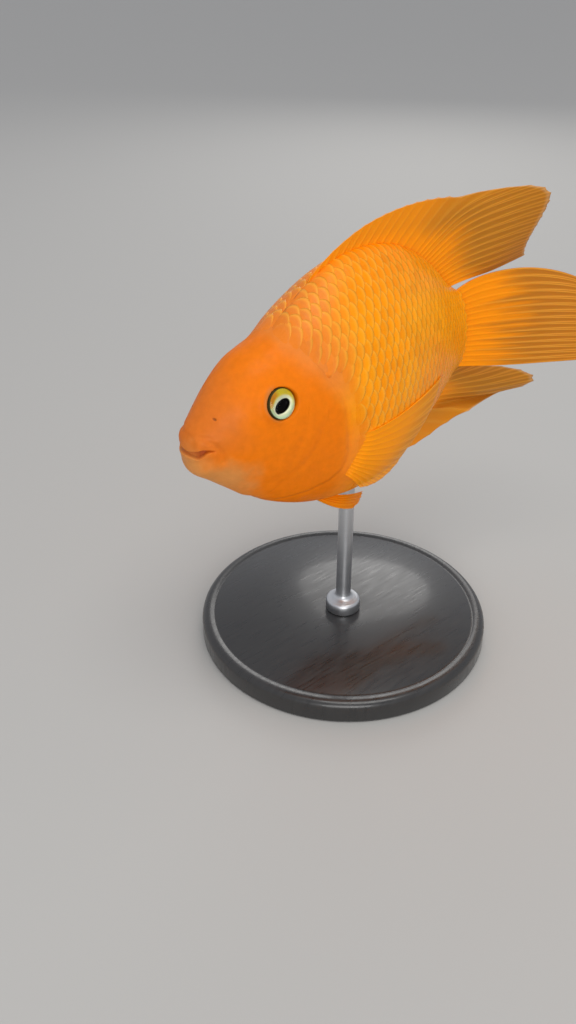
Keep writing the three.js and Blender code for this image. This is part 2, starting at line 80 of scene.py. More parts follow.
photo_camera = bpy.data.cameras.new("photo_camera")
photo_camera.lens = 35.16
photo_camera.sensor_width = 36.0
photo_camera.clip_start = 0.01
camera_place = Vector((-0.2268708, -0.23604, 0.2668343))
camera_aim = Vector((-0.0383891, -0.0105905, 0.0767102))
camera = bpy.data.objects.new("photo_camera", photo_camera)
camera.location = camera_place
camera.rotation_euler = (camera_aim - camera_place).to_track_quat("-Z", "Y").to_euler()
bpy.context.collection.objects.link(camera)
bpy.context.scene.camera = camera


# The display stand: a turned disc lacquered black, and a steel rod with a collar that carries the fish.
# Both are turned shapes; the rod ends just inside the belly.
base_radius = 0.058
base_thickness = 0.009
base_sides = 160
foot_round = 0.001
top_round = 0.0025
groove_outside, groove_bottom, groove_inside = 0.0045, 0.005, 0.0056
groove_depth = 0.0004
rod_radius = 0.003
rod_top = 0.0722
rod_sides = 64
collar_radius = 0.007
collar_inside_base = 0.009
collar_foot = 0.0093
collar_foot_round = 0.0004
collar_shoulder = 0.0128
collar_shoulder_round = 0.0015


def named_mesh(name, points, faces, smooth=True):
    mesh = bpy.data.meshes.new(name)
    mesh.from_pydata(np.asarray(points, float).reshape(-1, 3).tolist(), [], faces)
    mesh.validate()
    if smooth:
        mesh.polygons.foreach_set("use_smooth", [True] * len(mesh.polygons))
    piece = bpy.data.objects.new(name, mesh)
    bpy.context.collection.objects.link(piece)
    return piece


def turned_piece(name, outline, sides):
    angles = np.arange(sides) * 2 * pi / sides
    rings = [[(r * cos(a), r * sin(a), z) for a in angles] for r, z in outline]
    points = [(0, 0, outline[0][1])] + [p for ring in rings for p in ring] + [(0, 0, outline[-1][1])]
    faces = [(0, 1 + (i + 1) % sides, 1 + i) for i in range(sides)]
    for row in range(len(outline) - 1):
        lower = 1 + row * sides
        upper = lower + sides
        for i in range(sides):
            after = (i + 1) % sides
            faces.append((lower + i, lower + after, upper + after, upper + i))
    last = 1 + (len(outline) - 1) * sides
    faces += [(len(points) - 1, last + i, last + (i + 1) % sides) for i in range(sides)]
    return named_mesh(name, points, faces)


def arc(centre_r, centre_z, radius, start, end, steps=7):
    turn = np.radians(np.linspace(start, end, steps))
    return [(centre_r + radius * cos(a), centre_z + radius * sin(a)) for a in turn]


base_outline = [(base_radius - 2 * foot_round, 0.0)]
base_outline += arc(base_radius - foot_round, foot_round, foot_round, -90, 0, 4)
base_outline += arc(base_radius - top_round, base_thickness - top_round, top_round, 0, 90, 8)
base_outline += [
    (base_radius - groove_outside, base_thickness),
    (base_radius - groove_bottom, base_thickness - groove_depth),
    (base_radius - groove_inside, base_thickness),
    (collar_inside_base, base_thickness),
]
stand_base = turned_piece("stand_base_turned", base_outline, base_sides)
foot_middle = collar_foot + collar_foot_round
rod_outline = [(collar_radius - collar_foot_round, collar_foot)]
rod_outline += arc(collar_radius - collar_foot_round, foot_middle, collar_foot_round, -90, 0, 3)
rod_outline += arc(collar_radius - collar_shoulder_round, collar_shoulder, collar_shoulder_round, 0, 80, 5)
rod_outline += [(0.0046, 0.0146), (0.0037, 0.0151), (0.0031, 0.0158), (rod_radius, 0.0165)]
rod_outline += [(rod_radius, z) for z in np.linspace(0.02, rod_top, 14)]
stand_rod = turned_piece("stand_rod_turned", rod_outline, rod_sides)


def new_material(name, **constants):
    material = bpy.data.materials.new(name)
    material.use_nodes = True
    shader = material.node_tree.nodes["Principled BSDF"]
    for socket, value in constants.items():
        shader.inputs[socket.replace("_", " ")].default_value = value
    return material, material.node_tree, shader


def node(tree, kind, inputs=(), **settings):
    made = tree.nodes.new(kind)
    for key, value in settings.items():
        setattr(made, key, value)
    for key, value in dict(inputs).items():
        if isinstance(value, bpy.types.NodeSocket):
            tree.links.new(value, made.inputs[key])
        else:
            made.inputs[key].default_value = value
    return made


def reckon(tree, operation, first, second=0.0, third=0.0):
    return node(tree, "ShaderNodeMath", {0: first, 1: second, 2: third}, operation=operation).outputs[0]


def times(tree, first, second):
    return reckon(tree, "MULTIPLY", first, second)


def blend_colours(tree, share, under, over):
    made = node(tree, "ShaderNodeMix", {0: share, 6: under, 7: over}, data_type="RGBA")
    return made.outputs[2]


def noise(tree, place, scale, detail, **inputs):
    sockets = {"Vector": place, "Scale": scale, "Detail": detail, **inputs}
    return node(tree, "ShaderNodeTexNoise", sockets).outputs["Fac"]


def attribute(tree, name):
    return node(tree, "ShaderNodeAttribute", attribute_name=name).outputs["Fac"]


def object_place(tree):
    return node(tree, "ShaderNodeTexCoord").outputs["Object"]


def add_bump(tree, shader, height, strength, distance):
    bump = node(tree, "ShaderNodeBump", {"Height": height, "Strength": strength, "Distance": distance})
    tree.links.new(bump.outputs[0], shader.inputs["Normal"])


def step_between(tree, value, low, high):
    bounds = {"Value": value, "From Min": low, "From Max": high}
    made = node(tree, "ShaderNodeMapRange", bounds, interpolation_type="SMOOTHSTEP")
    return made.outputs["Result"]


lacquer, tree, shader = new_material("black_lacquer", Roughness=0.3, Coat_Weight=0.4, Coat_Roughness=0.12)
stretch = node(tree, "ShaderNodeMapping", {"Vector": object_place(tree), "Scale": (90.0, 900.0, 90.0)})
grain = noise(tree, stretch.outputs[0], 1.0, 4.0)
stain = blend_colours(tree, grain, (0.012, 0.012, 0.013, 1), (0.03, 0.028, 0.027, 1))
tree.links.new(stain, shader.inputs["Base Color"])
tree.links.new(step_between(tree, grain, -0.6, 2.2), shader.inputs["Roughness"])
add_bump(tree, shader, grain, 0.12, 0.0002)
stand_base.data.materials.append(lacquer)

steel, tree, shader = new_material("brushed_rod", Metallic=1.0, Roughness=0.3)
stretch = node(tree, "ShaderNodeMapping", {"Vector": object_place(tree), "Scale": (60.0, 60.0, 5200.0)})
lines = noise(tree, stretch.outputs[0], 1.0, 3.0)
brushed = blend_colours(tree, lines, (0.5, 0.51, 0.53, 1), (0.68, 0.69, 0.71, 1))
tree.links.new(brushed, shader.inputs["Base Color"])
tree.links.new(step_between(tree, lines, -0.9, 2.4), shader.inputs["Roughness"])
add_bump(tree, shader, lines, 0.1, 0.0001)
stand_rod.data.materials.append(steel)

for piece, solid in ((stand_base, "stand_base"), (stand_rod, "stand_rod")):
    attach(piece, "root")
    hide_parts(solid)


# The body: soft flesh under one smooth wet skin from the lips to the root of the tail fin, deep and
# flat-sided. Cross sections follow a midline that bends with the swimming body, and lips, nostrils,
# eye sockets and the edges of the gill covers are raised or sunk in that surface.
standard_length = 0.140
nose_down = radians(1.5)
axis_height = 0.112
axis_middle = 0.52
body_end = 0.935
skin_depth = 0.0003


def curve_through(pairs):
    xs, ys = np.array(pairs, float).T
    before = np.maximum(np.arange(len(xs)) - 1, 0)
    after = np.minimum(np.arange(len(xs)) + 1, len(xs) - 1)
    slopes = (ys[after] - ys[before]) / (xs[after] - xs[before])

    def curve(x):
        x = np.asarray(x, float)
        i = np.clip(np.searchsorted(xs, x) - 1, 0, len(xs) - 2)
        span = xs[i + 1] - xs[i]
        s = np.clip((x - xs[i]) / span, 0, 1)
        held = ys[i] * (2 * s**3 - 3 * s**2 + 1) + ys[i + 1] * (3 * s**2 - 2 * s**3)
        return held + slopes[i] * span * (s**3 - 2 * s**2 + s) + slopes[i + 1] * span * (s**3 - s**2)

    return curve


# Pairs of share of the length behind the lips, and size or level as a share of the length.
back_line = curve_through([
    (0, 0.022), (0.02, 0.051), (0.06, 0.093), (0.11, 0.14), (0.16, 0.177), (0.205, 0.193), (0.25, 0.209),
    (0.3, 0.249), (0.36, 0.29), (0.42, 0.322), (0.5, 0.343), (0.6, 0.338), (0.7, 0.305), (0.8, 0.24),
    (0.88, 0.165), (0.94, 0.122), (0.975, 0.112), (1, 0.1),
])
belly_line = curve_through([
    (0, -0.035), (0.02, -0.072), (0.06, -0.112), (0.12, -0.161), (0.2, -0.22), (0.3, -0.267),
    (0.4, -0.288), (0.5, -0.289), (0.6, -0.268), (0.7, -0.236), (0.8, -0.185), (0.88, -0.14),
    (0.94, -0.116), (0.975, -0.11), (1, -0.1),
])
half_width = curve_through([
    (0, 0.03), (0.02, 0.046), (0.06, 0.07), (0.12, 0.098), (0.2, 0.124), (0.3, 0.149), (0.4, 0.166),
    (0.5, 0.167), (0.6, 0.152), (0.7, 0.128), (0.8, 0.098), (0.88, 0.072), (0.94, 0.052), (0.975, 0.042),
    (1, 0.026),
])
widest_level = curve_through([(0, -0.002), (0.1, 0.006), (0.25, 0.0), (0.45, -0.025), (0.7, -0.02), (1, 0)])
back_sharpness = curve_through([(0, 0.9), (0.15, 0.86), (0.3, 1.0), (0.45, 1.22), (0.8, 1.25), (1, 1.0)])
belly_sharpness = curve_through([(0, 0.9), (0.2, 0.9), (0.45, 0.86), (0.75, 1.1), (1, 1.0)])


def ease(low, high, x):
    s = np.clip((np.asarray(x, float) - low) / (high - low), 0, 1)
    return s * s * (3 - 2 * s)


def heading(t):
    return np.radians(6 * ease(0.38, 0.8, t) - 34 * ease(0.86, 1.06, t) - 22 * ease(1.06, 1.45, t))


midline_reach = 1.6
midline_steps = 300
midline_t = np.linspace(0, midline_reach, midline_steps + 1)
midline_turn = heading((midline_t[:-1] + midline_t[1:]) / 2)
midline_x = np.concatenate([[0], np.cumsum(np.cos(midline_turn)) * midline_reach / midline_steps])
midline_y = np.concatenate([[0], np.cumsum(np.sin(midline_turn)) * midline_reach / midline_steps])
middle_x = np.interp(axis_middle, midline_t, midline_x)
middle_y = np.interp(axis_middle, midline_t, midline_y)


def on_fish(t, side, up):
    """Places of the straight fish, in shares of its length, on the bent fish in metres."""
    t, side, up = np.broadcast_arrays(np.asarray(t, float), side, up)
    turn = heading(np.maximum(t, 0))
    x = np.interp(t, midline_t, midline_x) + np.minimum(t, 0) - side * np.sin(turn) - middle_x
    y = np.interp(t, midline_t, midline_y) + side * np.cos(turn) - middle_y
    x, y, z = x * standard_length, y * standard_length, up * standard_length
    level, pitched = cos(nose_down), sin(nose_down)
    return np.stack([level * x - pitched * z, y, pitched * x + level * z + axis_height], -1)


def skin_section(t, angle, inside=0.0):
    """Side and height of the skin at an angle round from the back, some metres inside the surface."""
    shrink = inside / standard_length
    level = widest_level(t)
    upward, sideways = np.cos(angle), np.sin(angle)
    sharpness = np.where(upward >= 0, back_sharpness(t), belly_sharpness(t))
    height = np.where(upward >= 0, back_line(t) - level, level - belly_line(t)) - shrink
    width = half_width(t) - shrink
    return -width * np.sign(sideways) * np.abs(sideways) ** sharpness, level + height * upward


def signed_gap(t, up, path):
    """Distance in metres to a path drawn on the fish's side, and its sign, positive ahead of the path."""
    best = np.full(np.shape(t), 9.0)
    sign = np.ones(np.shape(t))
    for (t0, u0), (t1, u1) in zip(path[:-1], path[1:]):
        dt, du = t1 - t0, u1 - u0
        s = np.clip(((t - t0) * dt + (up - u0) * du) / (dt * dt + du * du), 0, 1)
        far = np.hypot(t - t0 - s * dt, up - u0 - s * du) * standard_length
        nearer = far < best
        best = np.where(nearer, far, best)
        sign = np.where(nearer, np.sign((t - t0) * du - (up - u0) * dt), sign)
    return best, sign


eye_centre = np.array([0.202, 0.111, 0.0865])
eye_facing = np.array([0.0, 0.957, 0.288])
eye_across = np.array([1.0, 0.0, 0.0])
eye_upwards = np.array([0.0, -0.288, 0.957])
eye_radius = 0.0052
mouth_corner = 0.042
mouth_level = curve_through([
    (-0.02, -0.0075), (-0.002, -0.0075), (0.007, -0.0015), (0.018, 0.004), (0.03, 0.0035),
    (0.042, 0.0012), (0.07, 0.002),
])
nostril_spot = (0.058, 0.071)
gill_edge = [
    (0.318, 0.125), (0.345, 0.082), (0.359, 0.03), (0.364, -0.03), (0.369, -0.085), (0.361, -0.135),
    (0.33, -0.166), (0.279, -0.187), (0.229, -0.199), (0.19, -0.203), (0.15, -0.18),
]
front_fold = [
    (0.256, 0.03), (0.25, -0.005), (0.241, -0.024), (0.227, -0.057), (0.205, -0.1), (0.17, -0.125),
]
rear_fold = [
    (0.3, 0.01), (0.294, -0.01), (0.277, -0.045), (0.259, -0.075), (0.233, -0.1), (0.2, -0.135),
]
cheek_folds = [(front_fold, 0.00018), (rear_fold, 0.00022)]
lip_fold = [(0.036, 0.022), (0.046, 0.012), (0.053, 0.0), (0.058, -0.014), (0.06, -0.032)]
upper_lip_rise, lower_lip_rise = 0.00042, 0.0005
lip_groove = 0.0003
chin_rise = 0.0011
mouth_depth = 0.0016
gill_cover_rise = 0.00045
gill_groove = 0.00018
lid_rise, front_lid_rise = 0.0001, 0.0009
socket_depth = 0.0042
nostril_depth = 0.0005


def hump(x, width):
    return np.exp(-((x / width) ** 2))


def mouth_gape(t):
    """Height in metres of the dark opening under the upper lip."""
    return 0.0001 + 0.0023 * hump(t - 0.013, 0.013)


def mouth_relief(t, up):
    above = (up - mouth_level(t)) * standard_length
    at_mouth = 1 - ease(mouth_corner - 0.006, mouth_corner + 0.004, t)
    lips = 1 - ease(mouth_corner - 0.02, mouth_corner + 0.012, t)
    out = upper_lip_rise * lips * ease(-0.01, 0.02, t) * hump(above - 0.002, 0.0018)
    out = out + lower_lip_rise * lips * hump(above + 0.0018, 0.0016)
    out = out - lip_groove * lips * ease(0.004, 0.02, t) * hump(above - 0.0042, 0.0007)
    out = out + chin_rise * hump(t - 0.022, 0.026) * hump(above + 0.0085, 0.0045)
    gape = mouth_gape(t)
    opening = ease(-gape - 0.0005, -gape, above) * (1 - ease(-0.0002, 0.0003, above))
    out = out - mouth_depth * at_mouth * opening
    far, _ = signed_gap(t, up, lip_fold)
    return out - lip_groove * hump(far, 0.0008) + 0.00012 * hump(far - 0.0018, 0.0014)


def cheek_relief(t, up):
    out = 0.0
    for path, depth in cheek_folds:
        far, ahead = signed_gap(t, up, path)
        out = out - depth * hump(far, 0.0016) + depth * 0.7 * hump(ahead * far - 0.0034, 0.0028)
    far, ahead = signed_gap(t, up, gill_edge)
    cover = np.where(ahead > 0, hump(np.maximum(far - 0.0007, 0), 0.006), 0.0)
    cover = cover * ease(0.0, 0.002, far * ahead)
    return out + gill_cover_rise * cover - gill_groove * hump(far * ahead + 0.0003, 0.0007)


def eye_relief(t, off, up):
    from_eye = np.stack([t, off, up], -1) - eye_centre
    across = from_eye @ eye_across * standard_length
    upwards = from_eye @ eye_upwards * standard_length
    ring = np.hypot(across, upwards)
    on_cheek = (off > 0.05).astype(float)
    socket = 1 - ease(eye_radius - 0.0004, eye_radius + 0.0003, ring)
    ahead_of_eye = ease(-0.1, 0.9, -across / np.maximum(ring, 1e-6))
    lid = hump(np.maximum(ring - 0.0056, 0), 0.0014) * (ring > 0.0051)
    return on_cheek * ((lid_rise + front_lid_rise * ahead_of_eye) * lid - socket_depth * socket)


def relief(t, side, up):
    """How far the skin stands out from the plain form, in metres."""
    off = np.abs(side)
    out = mouth_relief(t, up) + cheek_relief(t, up) + eye_relief(t, off, up)
    nostril = np.hypot(t - nostril_spot[0], up - nostril_spot[1]) * standard_length
    beside_snout = (off > 0.02).astype(float) * (t < 0.12)
    return out - beside_snout * nostril_depth * hump(nostril, 0.00035)


def grid_faces(rows, columns, ring=True):
    across = np.arange(columns if ring else columns - 1)[None, :]
    row_starts = np.arange(rows - 1)[:, None] * columns
    here = row_starts + across
    beside = row_starts + (across + 1) % columns
    return np.stack([here, beside, beside + columns, here + columns], -1).reshape(-1, 4).tolist()


def set_attribute(piece, name, values):
    layer = piece.data.attributes.new(name, "FLOAT", "POINT")
    layer.data.foreach_set("value", np.ascontiguousarray(values, dtype=np.float32).ravel())


skin_columns = 340
skin_rows = 400
nose_rows = 26
tail_rows = 10
front_row = 0.013
nose_reach = 0.0125
nose_drop = 0.014
tail_reach = 0.012
around = np.arange(skin_columns) * 2 * pi / skin_columns
share = np.linspace(0, 1, skin_rows)
row_t = front_row + (body_end - front_row) * (0.35 * share + 0.65 * share**1.9)
nose_share = np.linspace(0.015, 1, nose_rows, endpoint=False)
t_rows = np.concatenate([np.full(nose_rows, row_t[0]), row_t])
shares = np.concatenate([nose_share, np.ones(skin_rows)])[:, None]
t_grid, a_grid = np.meshgrid(t_rows, around, indexing="ij")
side_grid, up_grid = skin_section(t_grid, a_grid, skin_depth)
middle_level = widest_level(t_grid)
side_grid = side_grid * shares
up_grid = middle_level + (up_grid - middle_level) * shares
up_grid = up_grid - nose_drop * (1 - shares**2)
t_grid = t_grid - nose_reach * (1 - shares**2)
tail_share = np.cos(np.linspace(0, pi / 2 * 0.98, tail_rows + 1)[1:])[:, None]
level_end = middle_level[-1, 0]
tail_side = side_grid[-1][None] * tail_share
tail_up = level_end + (up_grid[-1][None] - level_end) * (0.9 + 0.1 * tail_share)
tail_t = body_end + tail_reach * np.sin(np.linspace(0, pi / 2, tail_rows + 1)[1:])[:, None] + 0 * tail_side
t_grid = np.vstack([t_grid, tail_t])
side_grid = np.vstack([side_grid, tail_side])
up_grid = np.vstack([up_grid, tail_up])
plain = on_fish(t_grid, side_grid, up_grid)
along = np.gradient(plain, axis=0)
round_it = np.roll(plain, -1, axis=1) - np.roll(plain, 1, axis=1)
normal = np.cross(along, round_it)
normal /= np.maximum(np.linalg.norm(normal, axis=-1, keepdims=True), 1e-12)
if normal[skin_rows // 2, skin_columns // 4][1] > 0:
    normal = -normal
skin_points = plain + normal * relief(t_grid, side_grid, up_grid)[..., None]
nose_tip = skin_points[0].mean(axis=0)
rear_tip = skin_points[-1].mean(axis=0)
rows = len(t_grid)
points = np.vstack([skin_points.reshape(-1, 3), nose_tip, rear_tip])
faces = grid_faces(rows, skin_columns)
nose_point, rear_point = rows * skin_columns, rows * skin_columns + 1
faces += [(nose_point, (i + 1) % skin_columns, i) for i in range(skin_columns)]
last = (rows - 1) * skin_columns
faces += [(rear_point, last + i, last + (i + 1) % skin_columns) for i in range(skin_columns)]
skin = named_mesh("fish_skin", points, faces)
set_attribute(skin, "along", np.concatenate([t_grid.ravel(), [0, body_end]]))
set_attribute(skin, "side", np.concatenate([np.abs(side_grid).ravel(), [0, 0]]))
set_attribute(skin, "up", np.concatenate([up_grid.ravel(), [0, 0]]))
# The gape mask marks where the mouth's opening is painted dark, as painted shade inside it.
above_mouth = (up_grid - mouth_level(t_grid)) * standard_length
gape = mouth_gape(t_grid)
in_gape = ease(-gape - 0.0004, -gape, above_mouth) * (1 - ease(0, 0.0003, above_mouth))
set_attribute(skin, "gape", np.concatenate([(in_gape * hump(t_grid - 0.02, 0.017)).ravel(), [0, 0]]))


def new_group(name, inputs, outputs):
    group = bpy.data.node_groups.new(name, "ShaderNodeTree")
    for label, kind, value in inputs:
        socket = group.interface.new_socket(name=label, in_out="INPUT", socket_type=kind)
        socket.default_value = value
    for label, kind in outputs:
        group.interface.new_socket(name=label, in_out="OUTPUT", socket_type=kind)
    return group, group.nodes.new("NodeGroupInput"), group.nodes.new("NodeGroupOutput")


# The colours of the living fish, shared by skin and scales: yellow orange flanks, a deep orange head,
# a peach snout and nape and a paler jaw, with soft uneven borders; over them painted shade in front of the
# eyes, in the nostrils and in the mouth's opening.
fish_colours, given, result = new_group(
    "fish_colours",
    [("Lightness", "NodeSocketFloat", 1.0)],
    [("Colour", "NodeSocketColor"), ("Mottle", "NodeSocketFloat")],
)
tree = fish_colours
t_here = attribute(tree, "along")
up_here = attribute(tree, "up")
place = object_place(tree)
cloud = noise(tree, place, 42.0, 4.0, Roughness=0.55)
fine = noise(tree, place, 420.0, 3.0)
wobble = times(tree, reckon(tree, "SUBTRACT", cloud, 0.5), 0.16)
t_soft = reckon(tree, "ADD", t_here, wobble)
up_soft = reckon(tree, "ADD", up_here, wobble)

flank = (0.98, 0.285, 0.001, 1)
flank_gold = (1.0, 0.35, 0.003, 1)
head_deep = (0.83, 0.185, 0.0005, 1)
nape_peach = (0.8, 0.225, 0.03, 1)
snout_peach = (0.64, 0.16, 0.02, 1)
jaw_pale = (0.66, 0.28, 0.075, 1)
back_deep = (0.95, 0.26, 0.002, 1)
breast_peach = (0.92, 0.245, 0.02, 1)
# The next three colours are painted shade: in front of the eye sockets, in the nostrils' hollows and in the
# mouth's opening.
painted_socket_shade = (0.32, 0.17, 0.06, 1)
painted_nostril_shade = (0.2, 0.05, 0.01, 1)
painted_gape_shade = (0.33, 0.035, 0.006, 1)

colour = blend_colours(tree, step_between(tree, cloud, 0.35, 0.68), flank, flank_gold)
colour = blend_colours(tree, step_between(tree, up_soft, 0.2, 0.34), colour, back_deep)
nape = times(tree, step_between(tree, t_soft, 0.47, 0.33), step_between(tree, up_soft, -0.02, 0.14))
colour = blend_colours(tree, nape, colour, nape_peach)
breast = times(tree, step_between(tree, t_soft, 0.45, 0.38), step_between(tree, up_soft, 0.02, -0.08))
colour = blend_colours(tree, times(tree, breast, 0.8), colour, breast_peach)
head_line = reckon(tree, "MULTIPLY_ADD", up_soft, -0.62, 0.375)
head_line = reckon(tree, "MINIMUM", head_line, 0.362)
head_zone = step_between(tree, reckon(tree, "SUBTRACT", head_line, t_here), -0.03, 0.03)
colour = blend_colours(tree, head_zone, colour, head_deep)
snout = times(tree, step_between(tree, t_soft, 0.17, 0.03), step_between(tree, up_soft, -0.05, 0.03))
colour = blend_colours(tree, times(tree, snout, 0.75), colour, snout_peach)
jaw_line = reckon(tree, "MULTIPLY_ADD", t_soft, -0.95, 0.018)
jaw = step_between(tree, reckon(tree, "SUBTRACT", jaw_line, up_soft), -0.03, 0.06)
jaw = times(tree, jaw, step_between(tree, t_soft, 0.3, 0.04))
colour = blend_colours(tree, times(tree, jaw, 0.85), colour, jaw_pale)
belly = times(tree, step_between(tree, up_soft, -0.18, -0.27), step_between(tree, t_here, 0.6, 0.4))
colour = blend_colours(tree, times(tree, belly, 0.6), colour, nape_peach)
speckle = reckon(tree, "MULTIPLY_ADD", fine, 0.24, 0.88)
speckle = times(tree, speckle, given.outputs["Lightness"])
colour = node(tree, "ShaderNodeVectorMath", {0: colour, 3: speckle}, operation="SCALE").outputs[0]
# Painted shade: a dark brown band round the front of each eye socket stands in for the shade where the eye
# stands out from the cheek.
eye_away = reckon(tree, "SUBTRACT", eye_centre[0], t_here)
eye_rise = reckon(tree, "SUBTRACT", up_here, eye_centre[2])
eye_ring = reckon(tree, "MULTIPLY_ADD", eye_away, eye_away, times(tree, eye_rise, eye_rise))
eye_ring = reckon(tree, "SQRT", eye_ring)
painted_socket_shade_mask = times(tree, step_between(tree, eye_ring, 0.0475, 0.037), step_between(tree, eye_away, 0.0, 0.03))
painted_socket_shade_mask = times(tree, painted_socket_shade_mask, step_between(tree, attribute(tree, "side"), 0.04, 0.06))
colour = blend_colours(tree, times(tree, painted_socket_shade_mask, 0.55), colour, painted_socket_shade)
# Painted shade: the nostrils' hollows are painted dark.
nostril_away = reckon(tree, "POWER", reckon(tree, "SUBTRACT", t_here, nostril_spot[0]), 2.0)
nostril_rise = reckon(tree, "POWER", reckon(tree, "SUBTRACT", up_here, nostril_spot[1]), 2.0)
nostril = reckon(tree, "SQRT", reckon(tree, "ADD", nostril_away, nostril_rise))
nostril = times(tree, step_between(tree, nostril, 0.0042, 0.0014), 0.7)
colour = blend_colours(tree, nostril, colour, painted_nostril_shade)
# Painted shade in the mouth's opening.
colour = blend_colours(tree, times(tree, attribute(tree, "gape"), 0.75), colour, painted_gape_shade)
tree.links.new(colour, result.inputs["Colour"])
tree.links.new(cloud, result.inputs["Mottle"])

wet_skin, tree, shader = new_material(
    "wet_skin", Roughness=0.45, Specular_IOR_Level=0.12, Coat_Weight=0.03, Coat_Roughness=0.25,
    Subsurface_Weight=0.1, Subsurface_Scale=0.0015,
)
shader.inputs["Subsurface Radius"].default_value = (1.0, 0.45, 0.15)
colours = node(tree, "ShaderNodeGroup", node_tree=fish_colours)
place = object_place(tree)
pores = node(tree, "ShaderNodeTexVoronoi", {"Vector": place, "Scale": 900.0}).outputs["Distance"]
soft = noise(tree, place, 260.0, 5.0)
add_bump(tree, shader, reckon(tree, "MULTIPLY_ADD", pores, 0.35, soft), 0.22, 0.00025)
tree.links.new(colours.outputs["Colour"], shader.inputs["Base Color"])
tree.links.new(step_between(tree, soft, -0.5, 1.5), shader.inputs["Roughness"])
skin.data.materials.append(wet_skin)
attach(skin, "root")
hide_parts("head", "lower_jaw", "gill_cover_left", "gill_cover_right", "trunk", "tail_root")


# The scales: thin rounded plates in slanting rows over the trunk and the tail's root, each with its front
# edge under the ones before it and its rear edge lying free on the next, smaller towards the tail.
scale_pitch = 0.0238
scale_row = 0.062
scale_overlap = 1.95
scale_half_width = 0.59
scale_thickness = 0.0001
scale_sunk = 0.0001
scale_lift = 0.00042
scale_crown = 0.00009
patch_half = 0.0015
scale_start = curve_through([
    (-0.32, 0.45), (-0.2, 0.41), (-0.08, 0.4), (0.02, 0.388), (0.08, 0.375), (0.14, 0.335), (0.19, 0.28),
    (0.215, 0.235), (0.3, 0.23),
])
scale_seed = np.random.default_rng(11)
fine_angles = np.linspace(0, pi, 721)


def body_share(t):
    return (back_line(t) - belly_line(t)) / (back_line(0.5) - belly_line(0.5))


def scale_centres():
    centres = []
    t = 0.2
    column = 0
    while t < body_end - 0.004:
        row = float(scale_row * (0.3 + 0.7 * body_share(t)))
        pitch = float(scale_pitch * (0.72 + 0.28 * body_share(t)))
        side, up = skin_section(np.full_like(fine_angles, t), fine_angles)
        run = np.concatenate([[0], np.cumsum(np.hypot(np.diff(side), np.diff(up)))])
        widest = np.interp(pi / 2, fine_angles, run)
        first = -int(widest / row) - 1
        count = int(run[-1] / row) + 2
        for k in range(first, first + count + 1):
            place_on = widest + (k + 0.5 * (column % 2)) * row
            if place_on < 0.012 or place_on > run[-1] - 0.008:
                continue
            behind_start = t - float(scale_start(np.interp(place_on, run, up)))
            if behind_start < 0:
                continue
            raised = 0.62 + 0.38 * float(ease(0, 0.06, behind_start))
            centres.append((t, place_on, row, pitch, run, raised))
        t += pitch / 2
        column += 1
    return centres


def scale_plates(name, hand, centres):
    long_steps, cross_steps = 7, 10
    p = np.linspace(0, 1, long_steps + 1)[:, None]
    q = np.linspace(-1, 1, cross_steps + 1)[None, :]
    outline = (0.7 + 0.3 * ease(0, 0.45, p)) * (1 - 0.1 * ease(0.75, 1, p))
    points, ps, ts, ups, tints, uvs = [], [], [], [], [], []
    for t, place_on, row, pitch, run, raised in centres:
        jitter = scale_seed.normal(0, 1, 5)
        length = pitch * scale_overlap * (1 + 0.02 * jitter[0])
        width = row * scale_half_width * (1 + 0.02 * jitter[1])
        bow = -0.95 * pitch * q**2 * p
        t_at = t + 0.01 * jitter[2] * pitch + (p - 0.4) * length + bow
        run_at = place_on + q * outline * width
        angle = np.interp(run_at, run, fine_angles)
        crown = scale_crown * (1 - q**2) * np.sin(pi * p)
        lift = (scale_lift * p * (1 - 0.8 * q**4) + crown) * raised - scale_sunk
        lift = lift * pitch / scale_pitch * (1 + 0.06 * jitter[3])
        sheets = []
        for depth in (0.0, scale_thickness):
            side, up = skin_section(t_at, angle, skin_depth - lift + depth)
            sheets.append(on_fish(t_at, -hand * side, up))
        points.append(np.stack(sheets))
        ps.append(p + 0 * q)
        ts.append(t_at)
        ups.append(up)
        tints.append(np.full_like(t_at, jitter[4]))
        middle = float(np.interp(place_on, run, fine_angles)) / (2 * pi)
        patch_u = t + patch_half * (2 * p - 1) + 0 * q
        patch_v = middle * hand + 0.5 + patch_half * q + 0 * p
        uvs.append(np.stack([patch_u, patch_v], -1))
    grid = (long_steps + 1) * (cross_steps + 1)
    top = grid_faces(long_steps + 1, cross_steps + 1, ring=False)
    loop = list(range(cross_steps + 1))
    loop += [cross_steps + (cross_steps + 1) * k for k in range(1, long_steps + 1)]
    loop += [grid - 1 - k for k in range(1, cross_steps + 1)]
    loop += [(cross_steps + 1) * k for k in range(long_steps - 1, 0, -1)]
    wall = [(b, a, grid + a, grid + b) for a, b in zip(loop, loop[1:] + loop[:1])]
    under = [tuple(grid + i for i in loop)]
    pattern = top + wall + under
    if hand > 0:
        pattern = [f[::-1] for f in pattern]
    faces = []
    for k in range(len(centres)):
        faces += [tuple(2 * grid * k + i for i in f) for f in pattern]
    piece = named_mesh(name, np.array(points), faces)
    smooth = np.tile([True] * len(top) + [False] * (len(pattern) - len(top)), len(centres))
    piece.data.polygons.foreach_set("use_smooth", smooth)
    for label, values in (("scale_run", ps), ("along", ts), ("up", ups), ("tint", tints)):
        values = np.array(values).reshape(len(centres), 1, grid)
        set_attribute(piece, label, np.repeat(values, 2, axis=1))
    patches = np.repeat(np.array(uvs).reshape(len(centres), 1, grid, 2), 2, axis=1).reshape(-1, 2)
    layer = piece.data.uv_layers.new(name="OFBake")
    corners = np.zeros(len(piece.data.loops), dtype=np.int32)
    piece.data.loops.foreach_get("vertex_index", corners)
    layer.data.foreach_set("uv", patches[corners].astype(np.float32).ravel())
    return piece


